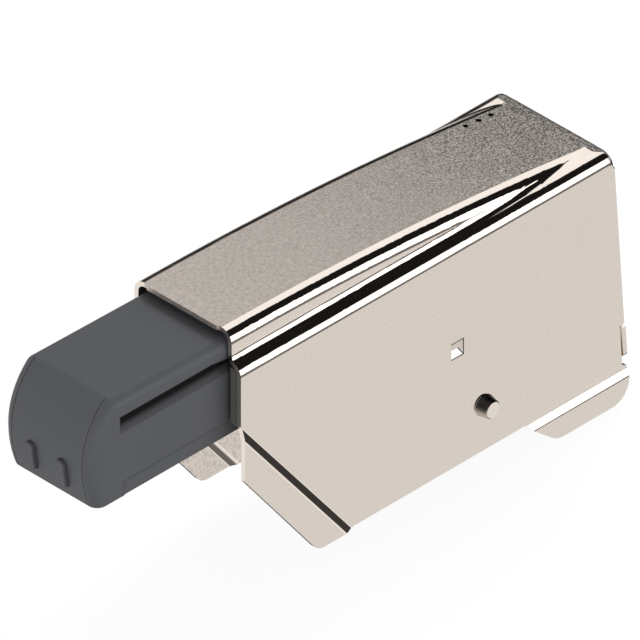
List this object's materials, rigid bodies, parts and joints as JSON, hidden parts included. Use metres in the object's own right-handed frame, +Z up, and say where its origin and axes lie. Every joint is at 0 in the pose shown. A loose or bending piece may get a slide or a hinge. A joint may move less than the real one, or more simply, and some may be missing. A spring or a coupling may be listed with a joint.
{
  "type": "clip-on soft-close damper for a concealed cup hinge",
  "caption": "Folded nickel-plated cover that snaps over a cup-hinge arm, with a grey spring-returned plunger that brakes a closing door.",
  "frame": {"origin": "on the mid-plane, at the front edge of the side panels in X and at their lower edge in Z", "axes": "+X from the plunger's nose toward the rear wall, the way the plunger is pushed in; +Y across the cover; +Z up, from the open underside toward the crown"},
  "size_m": [0.0861, 0.0226, 0.0399],
  "materials": {
    "nickel_sheet": "nickel-plated sheet steel, satin on the flats, bright on the bends",
    "nickel_pin": "nickel-plated formed pin",
    "grey_plastic": "fine-textured anthracite moulding",
    "dark_plastic": "plain dark moulding",
    "white_plastic": "natural acetal moulding",
    "cylinder_metal": "drawn aluminium tube",
    "rod_steel": "ground and polished rod",
    "zinc_steel": "bright zinc plate",
    "spring_steel": "drawn spring wire",
    "black_rubber": "plain nitrile rubber",
    "grey_foam": "closed-cell foam"
  },
  "bodies": {
    "cover": {"housing": "nickel_sheet", "guide_carrier": "dark_plastic", "rivet_near": "nickel_pin", "rivet_far": "nickel_pin", "rod_seat": "white_plastic", "spring_seat": "zinc_steel", "piston_rod": "rod_steel", "piston": "white_plastic", "piston_ring": "black_rubber", "piston_clip": "zinc_steel"},
    "slider": {"plunger": "grey_plastic", "damper_cylinder": "cylinder_metal", "end_cap": "dark_plastic", "rod_guide": "white_plastic", "rod_seal": "black_rubber", "compensation_foam": "grey_foam", "stop_pin_near": "zinc_steel", "stop_pin_far": "zinc_steel", "bumper": "black_rubber", "return_spring": "spring_steel"}
  },
  "joints": [
    {"name": "plunger_slide", "type": "slide", "parent": "cover", "child": "slider", "axis": [1, 0, 0], "range_m": [0, 0.014], "stiffness_N_per_m": 60, "springref_m": -0.012, "deforming": ["return_spring"]}
  ]
}
